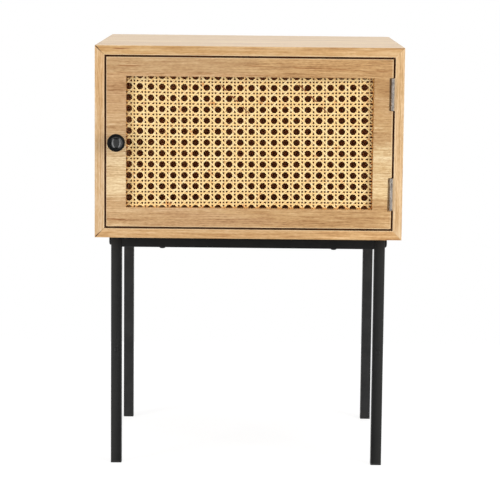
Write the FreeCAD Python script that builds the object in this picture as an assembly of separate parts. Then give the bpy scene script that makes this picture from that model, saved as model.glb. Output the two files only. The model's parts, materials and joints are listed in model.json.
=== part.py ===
import FreeCAD, Part
import math
import os

# Storage side table: a mitred cabinet with an inset cane door, on a bolted square-tube base.
# Millimetres. +X is to the right of a person facing the door, -Y is out of the door, +Z is up.
# The origin is on the floor, under the middle of the whole table, knob included.

# Cabinet: four mitred boards and a back set in a rebate
cabinet_width = 450.0
cabinet_height = 281.0
cabinet_depth = 400.0
board = 14.2
rebate_width = 7.0
rebate_depth = 6.0
back_thickness = 4.0
back_clearance = 0.5

# Door: one panel with a window, rebated behind for the cane
door_thickness = 14.0
door_gap = 1.8
latch_stile = 29.6
hinge_stile = 27.8
door_rail = 28.4
window_lip = 8.0
cane_margin = 8.0
bead_clearance = 0.2

# Cane: six strand directions on a grid of eight-sided holes
cane_pitch_x = 16.36
cane_pitch_z = 16.16
cane_first_hole_x = 3.7
cane_first_hole_z = 15.1
pair_offset = 2.45
pair_width = 2.78
diagonal_width = 2.9
strand_thickness = 0.4
cane_edge_clearance = 1.5
smallest_strand = 8.0

# Knob
knob_reach = 20.0
knob_radius = 13.0
knob_rim_thickness = 4.4
knob_rim_width = 2.6
knob_groove_width = 1.6
knob_groove_depth = 1.2
knob_dome_rise = 3.8
knob_stem_radius = 5.0
knob_offset = 1.2
knob_dome_facets = 3

# Butt hinges
hinge_length = 47.0
hinge_inset = 51.5
leaf_width = 13.5
leaf_thickness = 1.0
barrel_radius = 2.5
barrel_forward = 1.3
pin_radius = 1.45
pin_seat = 0.02
pin_running = 0.05
knuckle_gap = 0.2
knuckle_clearance = 0.15
mortise_clearance = 0.3
notch_width = 2.2
notch_depth = 3.0

# Magnetic catch
catch_height = 72.0
catch_length = 30.0
catch_width = 12.0
catch_depth = 13.0
catch_ear = 8.0
catch_ear_thickness = 2.5
magnet_length = 20.0
magnet_thickness = 4.0
magnet_depth = 9.0
pole_thickness = 1.2
pole_projection = 0.8
catch_air = 0.3
strike_length = 26.0
strike_width = 11.0
strike_thickness = 1.0
strike_edge = 3.5

# Base: square tube legs, cross rails bolted between two side frames
leg_height = 345.0
leg_size = 16.0
rail_height = 18.0
tube_wall = 1.2
tube_corner = 1.6
leg_side_inset = 22.0
leg_end_inset = 30.0
insert_length = 20.0
fit_clearance = 0.1
foot_lip = 2.4
foot_plug = 12.0
rail_screw_inset = 60.0
plug_radius = 3.5
plug_rise = 1.0
plug_stem_radius = 2.5
plug_stem_length = 4.0
plug_facets = 2

# Fasteners: (head radius, head height, shank radius), and how far each bites into its last piece
knob_screw = (3.8, 2.2, 2.0)
rail_screw = (4.7, 2.2, 2.0)
frame_bolt = (7.2, 3.0, 3.0)
knob_screw_grip = 6.0
rail_screw_grip = 11.0
frame_bolt_grip = 16.0
pilot_clearance = 0.02
head_bevel = 1.0
hex_key = 4.0
hex_depth = 1.8

# Places worked out from the sizes
front = knob_reach - (cabinet_depth + knob_reach) / 2
back = front + cabinet_depth
half_width = cabinet_width / 2
cabinet_bottom = leg_height
cabinet_top = cabinet_bottom + cabinet_height
inner_x = half_width - board
inner_bottom = cabinet_bottom + board
inner_top = cabinet_top - board
middle_z = (inner_bottom + inner_top) / 2
door_left = -inner_x + door_gap
door_right = inner_x - door_gap
door_bottom = inner_bottom + door_gap
door_top = inner_top - door_gap
door_back = front + door_thickness
window_left = door_left + latch_stile
window_right = door_right - hinge_stile
window_bottom = door_bottom + door_rail
window_top = door_top - door_rail
cane_front = front + window_lip
cane_back = cane_front + 4 * strand_thickness
axis_x = inner_x - barrel_radius
axis_y = front - barrel_forward
leg_x = half_width - leg_side_inset - leg_size / 2
leg_front_y = front + leg_end_inset + leg_size / 2
leg_back_y = back - leg_end_inset - leg_size / 2
rail_z = cabinet_bottom - rail_height / 2
knob_screw_length = door_thickness + knob_screw_grip
rail_screw_length = rail_height + rail_screw_grip
frame_bolt_length = leg_size + frame_bolt_grip

X = FreeCAD.Vector(1, 0, 0)
Y = FreeCAD.Vector(0, 1, 0)
Z = FreeCAD.Vector(0, 0, 1)


def point(x, y, z):
    return FreeCAD.Vector(x, y, z)


def box(x0, x1, y0, y1, z0, z1):
    return Part.makeBox(x1 - x0, y1 - y0, z1 - z0, point(x0, y0, z0))


def prism(corners, direction, length):
    """Extrude a closed outline of points."""
    outline = Part.makePolygon(corners + corners[:1])
    return Part.Face(outline).extrude(direction * length)


def corners_of(left, right, low, high):
    """Corners of a rectangle seen from the front, from the lower left, anticlockwise."""
    return [(left, low), (right, low), (right, high), (left, high)]


def mitred(outer, inner, i):
    """Outline of one side of a mitred frame; sides run bottom, right, top, left."""
    j = (i + 1) % 4
    return [outer[i], outer[j], inner[j], inner[i]]


def turn_to(shape, place, direction):
    """Stand a shape made along +Z at a place, with its +Z along the direction."""
    shape.Placement = FreeCAD.Placement(place, FreeCAD.Rotation(Z, direction))
    return shape


def rounded_outline(width, height, radius):
    """A rectangle with round corners about the origin, in the XY plane."""
    w = width / 2
    h = height / 2
    k = radius * (1 - math.sqrt(0.5))
    edges = []
    for turn in range(4):
        a, b = (w, h) if turn % 2 == 0 else (h, w)
        side = Part.makeLine(point(a, radius - b, 0), point(a, b - radius, 0))
        corner = Part.Arc(point(a, b - radius, 0), point(a - k, b - k, 0), point(a - radius, b, 0)).toShape()
        for edge in (side, corner):
            edge.rotate(point(0, 0, 0), Z, 90 * turn)
            edges.append(edge)
    return Part.Wire(edges)


def bar(width, height, radius, length):
    return Part.Face(rounded_outline(width, height, radius)).extrude(Z * length)


def tube(width, height, length):
    """Square tube along +Z from the origin, round outside corners, open at both ends."""
    w = width / 2 - tube_wall
    h = height / 2 - tube_wall
    return bar(width, height, tube_corner, length).cut(box(-w, w, -h, h, 0, length))


def many_sided(sides, radius, length):
    """Regular prism along +Z from the origin; the radius reaches its corners."""
    turns = [2 * math.pi * i / sides for i in range(sides)]
    return prism([point(radius * math.cos(turn), radius * math.sin(turn), 0) for turn in turns], Z, length)


def shank(radius, length):
    """Plain stem of a fastener, with few faces because it is out of sight."""
    return many_sided(8, radius, length)


def headed(size, length):
    """Bolt or screw with a bevelled head: seat at the origin, shank along +Z, head along -Z."""
    head_r, head_h, shank_r = size
    head = Part.makeCylinder(head_r, head_h - head_bevel, point(0, 0, head_bevel - head_h))
    bevel = Part.makeCone(head_r - head_bevel, head_r, head_bevel, point(0, 0, -head_h))
    return head.fuse([bevel, shank(shank_r, length)]).removeSplitter()


def pilot(size, depth):
    """The hole that the shank of this size fills, along +Z from the origin."""
    return shank(size[2] + pilot_clearance, depth + pilot_clearance)


def dome(radius, z_edge, rise, steps):
    """(radius, z) steps up a ball-shaped cap, from its edge to the axis."""
    ball = (radius ** 2 + rise ** 2) / (2 * abs(rise))
    up = math.copysign(1, rise)
    spread = math.asin(radius / ball)
    turns = [spread * (1 - i / steps) for i in range(steps + 1)]
    return [(ball * math.sin(turn), z_edge + rise - up * ball * (1 - math.cos(turn))) for turn in turns]


def turned(steps):
    """Solid turned about +Z from (radius, z) steps that start and end on the axis."""
    places = [point(r, 0, z) for r, z in steps]
    outline = Part.makePolygon(places + places[:1])
    return Part.Face(outline).revolve(point(0, 0, 0), Z, 360)


def at_each(make, places, direction):
    """One copy of what make() returns at each place."""
    return [turn_to(make(), place, direction) for place in places]


def hinge_centres():
    return [door_bottom + hinge_inset, door_top - hinge_inset]


def knob_centre():
    return point(door_left + latch_stile / 2 + knob_offset, front, middle_z)


def rail_screw_places():
    x = leg_x - leg_size / 2 - rail_screw_inset
    z = cabinet_bottom - rail_height
    return [point(side * x, y, z) for y in (leg_front_y, leg_back_y) for side in (-1, 1)]


def cabinet():
    """Four boards with mitred ends, rebated behind for the back panel."""
    outer = corners_of(-half_width, half_width, cabinet_bottom, cabinet_top)
    inner = corners_of(-inner_x, inner_x, inner_bottom, inner_top)
    names = ["bottom_board", "side_board_right", "top_board", "side_board_left"]
    rebate_floor = back - rebate_depth
    rebate = box(-inner_x - rebate_width, inner_x + rebate_width, rebate_floor, back,
                 inner_bottom - rebate_width, inner_top + rebate_width)
    parts = {}
    for i, name in enumerate(names):
        ring = mitred(outer, inner, i)
        parts[name] = prism([point(x, front, z) for x, z in ring], Y, cabinet_depth).cut(rebate)
    holes = at_each(lambda: pilot(rail_screw, rail_screw_length), rail_screw_places(), Z)
    parts["bottom_board"] = parts["bottom_board"].cut(holes)
    reach = rebate_width - back_clearance
    parts["back_panel"] = box(-inner_x - reach, inner_x + reach, rebate_floor, rebate_floor + back_thickness,
                              inner_bottom - reach, inner_top + reach)
    return parts


def door():
    """The panel with its window and rebate, and four mitred beads that hold the cane."""
    def rectangle(reach):
        return corners_of(window_left - reach, window_right + reach, window_bottom - reach, window_top + reach)

    panel = box(door_left, door_right, front, door_back, door_bottom, door_top)
    window = box(window_left, window_right, front, door_back, window_bottom, window_top)
    pocket = box(window_left - cane_margin, window_right + cane_margin, cane_front, door_back,
                 window_bottom - cane_margin, window_top + cane_margin)
    cuts = [window, pocket]
    cuts.append(turn_to(pilot(knob_screw, door_thickness), knob_centre(), Y))
    for centre_z in hinge_centres():
        low = centre_z - hinge_length / 2 - mortise_clearance
        high = centre_z + hinge_length / 2 + mortise_clearance
        leaf_end = axis_y + leaf_width + mortise_clearance
        leaf_x = axis_x - barrel_radius
        cuts.append(box(leaf_x, door_right, front, leaf_end, low, high))
        cuts.append(box(leaf_x - notch_width, door_right, front, front + notch_depth, low, high))
    parts = {"door_panel": panel.cut(cuts)}
    outer = rectangle(cane_margin - bead_clearance)
    inner = rectangle(0)
    for i, name in enumerate(["bead_bottom", "bead_right", "bead_top", "bead_left"]):
        ring = mitred(outer, inner, i)
        parts[name] = prism([point(x, cane_back, z) for x, z in ring], Y, door_back - cane_back)
    return parts


def strand(start, end, width, layer, sheet):
    """A flat strip between two points of the sheet, in its layer, trimmed to the sheet."""
    along = math.atan2(end[1] - start[1], end[0] - start[0])
    dx = -math.sin(along) * width / 2
    dz = math.cos(along) * width / 2
    y = cane_front + layer * strand_thickness
    corners = [point(start[0] + dx, y, start[1] + dz), point(end[0] + dx, y, end[1] + dz),
               point(end[0] - dx, y, end[1] - dz), point(start[0] - dx, y, start[1] - dz)]
    return prism(corners, Y, strand_thickness).common(sheet)


def pairs_between(start, end, crossing, pitch):
    """Centre lines of the paired strands that lie between two edges of the sheet."""
    first = math.floor((start - crossing) / pitch)
    last = math.ceil((end - crossing) / pitch)
    lines = [crossing + i * pitch + side * pair_offset for i in range(first, last + 1) for side in (-1, 1)]
    return [line for line in lines if start < line < end]


def cane():
    """Woven cane as four layers of strands: one slant, uprights, the other slant, cross strands."""
    margin = cane_margin - cane_edge_clearance
    left = window_left - margin
    right = window_right + margin
    low = window_bottom - margin
    high = window_top + margin
    sheet = box(left, right, cane_front, cane_back, low, high)
    cross_x = window_left + cane_first_hole_x - cane_pitch_x / 2
    cross_z = window_top - cane_first_hole_z - cane_pitch_z / 2
    uprights = [strand((x, low), (x, high), pair_width, 1, sheet)
                for x in pairs_between(left, right, cross_x, cane_pitch_x)]
    crosses = [strand((left, z), (right, z), pair_width, 3, sheet)
               for z in pairs_between(low, high, cross_z, cane_pitch_z)]
    parts = {"cane_uprights": uprights, "cane_cross_strands": crosses}
    below = low - cane_pitch_z
    above = high + cane_pitch_z
    for name, slope, layer in (("cane_slants_rising", 1, 0), ("cane_slants_falling", -1, 2)):
        shift_low = slope * (below - cross_z) / cane_pitch_z * cane_pitch_x
        shift_high = slope * (above - cross_z) / cane_pitch_z * cane_pitch_x
        first = math.floor((left - cross_x - max(shift_low, shift_high)) / cane_pitch_x)
        last = math.ceil((right - cross_x - min(shift_low, shift_high)) / cane_pitch_x)
        slants = []
        for k in range(first, last + 1):
            x = cross_x + (k + 0.5) * cane_pitch_x
            piece = strand((x + shift_low, below), (x + shift_high, above), diagonal_width, layer, sheet)
            slants += [solid for solid in piece.Solids if solid.Volume > smallest_strand]
        parts[name] = slants
    return parts


def knob():
    """Turned knob: stem, disc with a flat rim, groove and domed centre."""
    groove_out = knob_radius - knob_rim_width
    groove_in = groove_out - knob_groove_width
    groove_floor = knob_reach - knob_dome_rise
    rim_front = groove_floor + knob_groove_depth
    rim_back = rim_front - knob_rim_thickness
    steps = [(0, 0), (knob_stem_radius, 0), (knob_stem_radius, rim_back), (knob_radius, rim_back),
             (knob_radius, rim_front), (groove_out, rim_front), (groove_out, groove_floor)]
    body = turned(steps + dome(groove_in, groove_floor, knob_dome_rise, knob_dome_facets))
    body = body.cut(pilot(knob_screw, knob_screw_grip))
    screw = turn_to(headed(knob_screw, knob_screw_length), knob_centre() + Y * door_thickness, -Y)
    return {"door_knob": turn_to(body, knob_centre(), -Y), "knob_screw": screw}


def leaf(centre_z, side):
    """One pressed leaf with its two knuckles; the same pressing serves both sides, turned over."""
    low = centre_z - hinge_length / 2
    sixth = hinge_length / 6
    spans = {1: ((1, 3), (5, 6)), -1: ((0, 1), (3, 5))}
    outside = axis_x + side * barrel_radius
    inside = outside - side * leaf_thickness
    shape = box(min(inside, outside), max(inside, outside), axis_y, axis_y + leaf_width,
                low, low + hinge_length)
    for first, last in spans[-side]:
        start = point(axis_x, axis_y, low + first * sixth - knuckle_gap / 2)
        radius = barrel_radius + knuckle_clearance
        shape = shape.cut(Part.makeCylinder(radius, (last - first) * sixth + knuckle_gap, start))
    for first, last in spans[side]:
        bottom = low + first * sixth + (knuckle_gap / 2 if first > 0 else 0)
        top = low + last * sixth - (knuckle_gap / 2 if last < 6 else 0)
        shape = shape.fuse(Part.makeCylinder(barrel_radius, top - bottom, point(axis_x, axis_y, bottom)))
    bore = pin_radius + (pin_seat if side > 0 else pin_running)
    shape = shape.cut(Part.makeCylinder(bore, hinge_length, point(axis_x, axis_y, low)))
    return shape.removeSplitter()


def hinges():
    parts = {}
    for name, centre_z in zip(("lower", "upper"), hinge_centres()):
        parts["hinge_" + name + "_cabinet_leaf"] = leaf(centre_z, 1)
        parts["hinge_" + name + "_door_leaf"] = leaf(centre_z, -1)
        foot = point(axis_x, axis_y, centre_z - hinge_length / 2)
        parts["hinge_" + name + "_pin"] = Part.makeCylinder(pin_radius, hinge_length, foot)
    return parts


def catch():
    """Magnetic catch inside on the latch side, and its strike plate on the back of the door."""
    z = middle_z + catch_height
    pole_front = door_back + strike_thickness + catch_air
    body_front = pole_front + pole_projection
    wall = -inner_x
    body = box(wall, wall + catch_width, body_front, body_front + catch_depth,
               z - catch_length / 2, z + catch_length / 2)
    ears = box(wall, wall + catch_ear_thickness, body_front, body_front + catch_depth,
               z - catch_length / 2 - catch_ear, z + catch_length / 2 + catch_ear)
    stack = magnet_thickness + 2 * pole_thickness
    middle = wall + catch_width / 2
    nest = box(middle - stack / 2 - fit_clearance, middle + stack / 2 + fit_clearance,
               body_front, pole_front + magnet_depth + fit_clearance,
               z - magnet_length / 2 - fit_clearance, z + magnet_length / 2 + fit_clearance)
    parts = {"catch_body": body.fuse(ears).removeSplitter().cut(nest)}
    parts["catch_magnet"] = box(middle - magnet_thickness / 2, middle + magnet_thickness / 2,
                                body_front, pole_front + magnet_depth,
                                z - magnet_length / 2, z + magnet_length / 2)
    poles = []
    for side in (-1, 1):
        near = middle + side * magnet_thickness / 2
        far = near + side * pole_thickness
        poles.append(box(min(near, far), max(near, far), pole_front, pole_front + magnet_depth,
                         z - magnet_length / 2, z + magnet_length / 2))
    parts["catch_poles"] = poles
    strike_left = door_left + strike_edge
    parts["strike_plate"] = box(strike_left, strike_left + strike_width,
                                door_back, door_back + strike_thickness,
                                z - strike_length / 2, z + strike_length / 2)
    return parts


def frame_bolt_solid():
    """Connector bolt with a hexagon socket."""
    socket = many_sided(6, hex_key / math.sqrt(3), hex_depth)
    socket.translate(Z * -frame_bolt[1])
    return headed(frame_bolt, frame_bolt_length).cut(socket)


def leg_plug():
    """Domed snap-in plug; the dome's edge is at the origin and the stem runs along +Z."""
    stem = shank(plug_stem_radius, plug_stem_length)
    return turned([(0, 0)] + dome(plug_radius, 0, -plug_rise, plug_facets)).fuse(stem)


def foot():
    """Moulded tube end: a lip the size of the tube with a plug above it."""
    half = leg_size / 2 - tube_wall - fit_clearance
    plug = box(-half, half, -half, half, foot_lip, foot_lip + foot_plug)
    return bar(leg_size, leg_size, tube_corner, foot_lip).fuse(plug)


def base():
    """Two side frames of legs and a side rail, with two cross rails bolted between them."""
    parts = {}
    bolt_places = {-1: [], 1: []}
    plug_places = []
    cross_length = 2 * leg_x - leg_size
    side_length = leg_back_y - leg_front_y - leg_size
    for depth_name, y in (("front", leg_front_y), ("back", leg_back_y)):
        for side_name, side in (("left", -1), ("right", 1)):
            name = depth_name + "_" + side_name
            x = side * leg_x
            leg = turn_to(tube(leg_size, leg_size, leg_height - foot_lip), point(x, y, foot_lip), Z)
            bolt_place = point(x + side * leg_size / 2, y, rail_z)
            bolt_places[side].append(bolt_place)
            holes = [turn_to(pilot(frame_bolt, leg_size + tube_wall), bolt_place, X * -side)]
            if depth_name == "front":
                plug_place = point(x, y - leg_size / 2, leg_height / 2)
                plug_places.append(plug_place)
                holes.append(turn_to(shank(plug_stem_radius + pilot_clearance, tube_wall), plug_place, Y))
            parts["leg_" + name] = leg.cut(holes)
            parts["foot_" + name] = turn_to(foot(), point(x, y, 0), Z)
        rail = tube(rail_height, leg_size, cross_length)
        rail = turn_to(rail, point(-cross_length / 2, y, rail_z), X)
        screw_holes = [turn_to(pilot(rail_screw, rail_height), place, Z) for place in rail_screw_places()]
        parts["rail_" + depth_name] = rail.cut(screw_holes)
    for side_name, side in (("left", -1), ("right", 1)):
        rail = tube(leg_size, rail_height, side_length)
        rail.rotate(point(0, 0, 0), X, -90)
        rail.translate(point(side * leg_x, leg_front_y + leg_size / 2, rail_z))
        parts["rail_" + side_name] = rail
    inserts = []
    bolts = []
    for side in (-1, 1):
        for place in bolt_places[side]:
            end_x = side * cross_length / 2
            far_x = end_x - side * insert_length
            half_y = leg_size / 2 - tube_wall - fit_clearance
            half_z = rail_height / 2 - tube_wall - fit_clearance
            block = box(min(end_x, far_x), max(end_x, far_x), place.y - half_y, place.y + half_y,
                        rail_z - half_z, rail_z + half_z)
            inserts.append(block.cut(turn_to(pilot(frame_bolt, frame_bolt_length), place, X * -side)))
            bolts.append(turn_to(frame_bolt_solid(), place, X * -side))
    parts["rail_inserts"] = inserts
    parts["frame_bolts"] = bolts
    parts["rail_screws"] = at_each(lambda: headed(rail_screw, rail_screw_length), rail_screw_places(), Z)
    parts["leg_plugs"] = at_each(leg_plug, plug_places, Y)
    return parts


def save(parts):
    os.makedirs("parts", exist_ok=True)
    for name, shape in parts.items():
        if isinstance(shape, list):
            solids = [solid for piece in shape for solid in piece.Solids]
            shape = Part.makeCompound(solids)
        elif len(shape.Solids) == 1:
            shape = shape.Solids[0]
        shape.exportStep("parts/" + name + ".step")
        print(name, len(shape.Solids), round(shape.Volume / 1000, 2), shape.isValid())


for make_parts in (cabinet, door, cane, knob, hinges, catch, base):
    save(make_parts())
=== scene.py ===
import json
import math
from functools import partialmethod

import bmesh
import bpy
from mathutils import Matrix, Vector

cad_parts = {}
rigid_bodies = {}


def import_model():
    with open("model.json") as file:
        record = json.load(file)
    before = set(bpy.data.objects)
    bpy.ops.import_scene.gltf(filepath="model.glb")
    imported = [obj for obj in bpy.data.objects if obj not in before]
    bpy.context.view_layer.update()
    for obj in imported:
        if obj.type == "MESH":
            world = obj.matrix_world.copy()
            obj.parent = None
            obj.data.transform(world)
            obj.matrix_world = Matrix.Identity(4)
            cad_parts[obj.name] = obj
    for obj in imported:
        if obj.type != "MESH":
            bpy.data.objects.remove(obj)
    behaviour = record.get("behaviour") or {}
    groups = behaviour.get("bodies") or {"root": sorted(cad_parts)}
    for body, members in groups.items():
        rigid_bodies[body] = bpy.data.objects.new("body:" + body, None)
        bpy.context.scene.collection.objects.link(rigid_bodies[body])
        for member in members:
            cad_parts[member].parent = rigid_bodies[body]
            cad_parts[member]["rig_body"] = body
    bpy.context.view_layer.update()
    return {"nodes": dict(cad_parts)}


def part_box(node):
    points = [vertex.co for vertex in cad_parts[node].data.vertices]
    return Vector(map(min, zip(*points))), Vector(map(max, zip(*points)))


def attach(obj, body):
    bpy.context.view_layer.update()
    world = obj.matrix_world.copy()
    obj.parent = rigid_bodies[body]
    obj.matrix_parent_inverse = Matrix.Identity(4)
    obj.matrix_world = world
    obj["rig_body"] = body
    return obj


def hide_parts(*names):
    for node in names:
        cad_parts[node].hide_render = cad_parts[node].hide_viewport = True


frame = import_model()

nodes = frame["nodes"]
mm = 0.001
scene = bpy.context.scene
print("frame loaded:", len(nodes), "CAD nodes")


def inMm(*sizes):
    return tuple(size * mm for size in sizes)


def tone(red, green, blue):
    # a colour as a screen shows it, 0 to 255, turned into linear light
    def linear(value):
        value /= 255
        return value / 12.92 if value <= 0.04045 else ((value + 0.055) / 1.055) ** 2.4
    return (linear(red), linear(green), linear(blue), 1.0)


def grey(value):
    return tone(value, value, value)


class Wire:  # one output of a node tree, so that node maths reads as Python
    def __init__(self, tree, socket):
        self.tree = tree
        self.socket = socket

    def maths(self, operation, *others):
        values = dict(enumerate((self, *others)))
        return self.tree.add("ShaderNodeMath", values, operation=operation)

    def __rsub__(self, other):
        return self.tree.add("ShaderNodeMath", {0: other, 1: self}, operation="SUBTRACT")

    def other(self, output):  # another output of the same node
        return Wire(self.tree, self.socket.node.outputs[output])

    __add__ = __radd__ = partialmethod(maths, "ADD")
    __mul__ = __rmul__ = partialmethod(maths, "MULTIPLY")
    __sub__ = partialmethod(maths, "SUBTRACT")
    __truediv__ = partialmethod(maths, "DIVIDE")
    __pow__ = partialmethod(maths, "POWER")
    __abs__ = partialmethod(maths, "ABSOLUTE")
    lower = partialmethod(maths, "MINIMUM")
    higher = partialmethod(maths, "MAXIMUM")


class NodeTree:  # builds a node tree
    def __init__(self, tree):
        self.tree = tree

    def add(self, kind, inputs=None, output=0, **settings):  # inputs are values and links
        node = self.tree.nodes.new(kind)
        for name, value in settings.items():
            setattr(node, name, value)
        for key, value in (inputs or {}).items():
            if isinstance(value, Wire):
                self.tree.links.new(value.socket, node.inputs[key])
            else:
                node.inputs[key].default_value = value
        return Wire(self, node.outputs[output]) if node.outputs else node

    def vector(self, operation, *values):
        return self.add("ShaderNodeVectorMath", dict(enumerate(values)), operation=operation)

    def split(self, vector):
        x = self.add("ShaderNodeSeparateXYZ", {0: vector})
        return x, x.other(1), x.other(2)

    def rise(self, value, start, end):  # smoothly from 0 at start to 1 at end
        return self.add("ShaderNodeMapRange", {"Value": value, "From Min": start, "From Max": end},
                        interpolation_type="SMOOTHSTEP")

    def fall(self, value, start, end):  # smoothly from 1 at start to 0 at end
        return 1 - self.rise(value, start, end)

    def within(self, value, start, end, soft, softEnd):  # 1 from start to end, with soft ends
        return (self.rise(value, start - soft, start + soft)
                * self.fall(value, end - softEnd, end + softEnd))

    def mixed(self, share, first, second):  # two shaders
        return self.add("ShaderNodeMixShader", {0: share, 1: first, 2: second})


class Finish(NodeTree):  # a material
    def __init__(self, name):
        self.material = bpy.data.materials.new(name)
        self.material.use_nodes = True
        super().__init__(self.material.node_tree)
        self.tree.nodes.clear()

    def place(self):
        return self.add("ShaderNodeTexCoord", output="Object")

    def attribute(self, name):
        return self.add("ShaderNodeAttribute", output="Fac", attribute_name=name)

    def noise(self, vector, scale, detail, roughness):
        return self.add("ShaderNodeTexNoise", {"Vector": vector, "Scale": scale, "Detail": detail,
                                               "Roughness": roughness})

    def blend(self, share, first, second, mode="MIX"):
        return self.add("ShaderNodeMix", {0: share, 6: first, 7: second}, 2, data_type="RGBA",
                        blend_type=mode)

    def stain(self, colour, share, tint):  # darken or lighten a colour by a tint
        return self.blend(share, colour, tint, "MULTIPLY")

    def ramp(self, share, stops):
        colour = self.add("ShaderNodeValToRGB", {0: share})
        elements = colour.socket.node.color_ramp.elements
        while len(elements) < len(stops):
            elements.new(0.5)
        for element, (place, tint) in zip(elements, stops):
            element.position = place
            element.color = tint
        return colour

    def bump(self, height, strength, distance):
        values = {"Height": height, "Strength": strength, "Distance": distance}
        return self.add("ShaderNodeBump", values)

    def surface(self, values):
        shader = self.add("ShaderNodeBsdfPrincipled", values)
        self.add("ShaderNodeOutputMaterial", {0: shader})
        return self.material


def corner(xNode, xSide, zNode, zSide):
    return Vector((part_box(xNode)[xSide].x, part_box("door_panel")[0].y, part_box(zNode)[zSide].z))


edges = {  # lower left and upper right corners, seen from the front, which the finishes follow
    "cabinet": (corner("side_board_left", 0, "bottom_board", 0),
                corner("side_board_right", 1, "top_board", 1)),
    "opening": (corner("side_board_left", 1, "bottom_board", 1),
                corner("side_board_right", 0, "top_board", 0)),
    "door": (corner("door_panel", 0, "door_panel", 0), corner("door_panel", 1, "door_panel", 1)),
    "window": (corner("bead_left", 1, "bead_bottom", 1), corner("bead_right", 0, "bead_top", 0)),
}
frontY = edges["door"][0].y


def pastOutline(x, z, outline):
    # how far a point lies outside a rectangle seen from the front; less than nothing inside it
    low, high = outline
    halfX, halfZ = (high.x - low.x) / 2, (high.z - low.z) / 2
    return (abs(x - (low.x + halfX)) - halfX).higher(abs(z - (low.z + halfZ)) - halfZ)


veneerLook = {
    # waves per metre along and across the grain, detail, roughness, and if it wanders
    "layers": {"broad": (1.8, 36, 2, 0.5, True), "rings": (3.4, 210, 4, 0.6, True),
               "lines": (14, 780, 3, 0.6, True), "flecks": (150, 620, 2, 0.6, True),
               "mottle": (28, 90, 3, 0.55, False), "fibres": (90, 3400, 2, 0.5, False),
               "pores": (130, 1900, 1, 0.4, True), "streaks": (2.4, 170, 3, 0.65, True)},
    "drift": (3.0, 9, 2, 0.5),
    "poresFrom": (0.6, 0.7), "poreRings": (0.4, 0.62), "streaksFrom": (0.6, 0.74),
    "patchWaver": {"rings": 3, "broad": 3, "mottle": 2},
    "lineWaver": {"broad": 4 * mm, "mottle": 2 * mm}, "lineBreaks": (0.38, 0.56),
    "lineCore": 0.15, "lineSofts": inMm(8, 20),
    "bumpFibres": 0.5, "bumpLines": 0.35, "bumpPores": 0.5, "bumpHeight": 0.12 * mm,
    "roughLines": 0.14, "roughPores": 0.1, "roughShade": 0.35, "specular": 0.5, "coatRough": 0.3,
}
seamLook = {  # how far from an outline seen from the front, or behind the front face
    "sandedHighlightStart": inMm(0.4, 0.8), "sandedHighlightEnd": inMm(1.3, 1.9), "sandedHighlightDepth": inMm(0.5, 1.2),
    "gapReach": inMm(0.4, 0.75), "gapDepth": inMm(1, 2.5), "hingeSoft": 0.5 * mm,
    "innerSoft": 0.2 * mm, "wallReach": inMm(0.15, 0.4), "wallDepth": inMm(0.4, 1),
    "wallFoot": inMm(0.4, 1),
    "mitreWide": 1.7 * mm, "mitreNarrower": 1.0 * mm, "mitreNarrows": inMm(2, 11),
    "mitreFades": inMm(5, 12), "mitreFade": 0.5, "mitreStart": inMm(0.4, 1.4), "mitreCore": 0.25,
    "mitreMiddle": inMm(-1, 1),
}


def veneerColour(finish, look, layers, x, z):
    # the grain, its paler and darker stretches, streaks, single growth lines and pores
    figure = 0.5
    for kind in ("broad", "rings", "lines", "mottle", "flecks"):
        figure = (layers[kind] - 0.5) * look[kind] + figure
    colour = finish.ramp(figure, look["stops"])
    waver = sum((layers[kind] - 0.5) * by for kind, by in veneerLook["patchWaver"].items())
    for tint, reach in look.get("patches", []):
        inside = 1.0
        for axis, (start, end, soft) in reach.items():
            level = {"X": x, "Z": z}[axis] + waver * soft
            inside = finish.within(level, start, end, soft, soft) * inside
        colour = finish.stain(colour, inside, tint)
    streaks = finish.rise(layers["streaks"], *veneerLook["streaksFrom"])
    colour = finish.stain(colour, streaks * look["streaks"], look["streakColour"])
    for line in look.get("growthLines", []):
        middle = line["z"] + (x - line["x"]) * line["slope"]
        bend = sum((layers[kind] - 0.5) * by for kind, by in veneerLook["lineWaver"].items())
        dark = finish.fall(abs(z - middle + bend), line["width"] * veneerLook["lineCore"],
                           line["width"])
        run = finish.within(x, line["start"], line["end"], *veneerLook["lineSofts"])
        broken = finish.rise(layers["mottle"], *veneerLook["lineBreaks"]) * line["strength"]
        colour = finish.stain(colour, dark * run * broken, look["lineColour"])
    return finish.stain(colour, layers["dashes"] * look["pores"], look["poreColour"])


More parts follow.
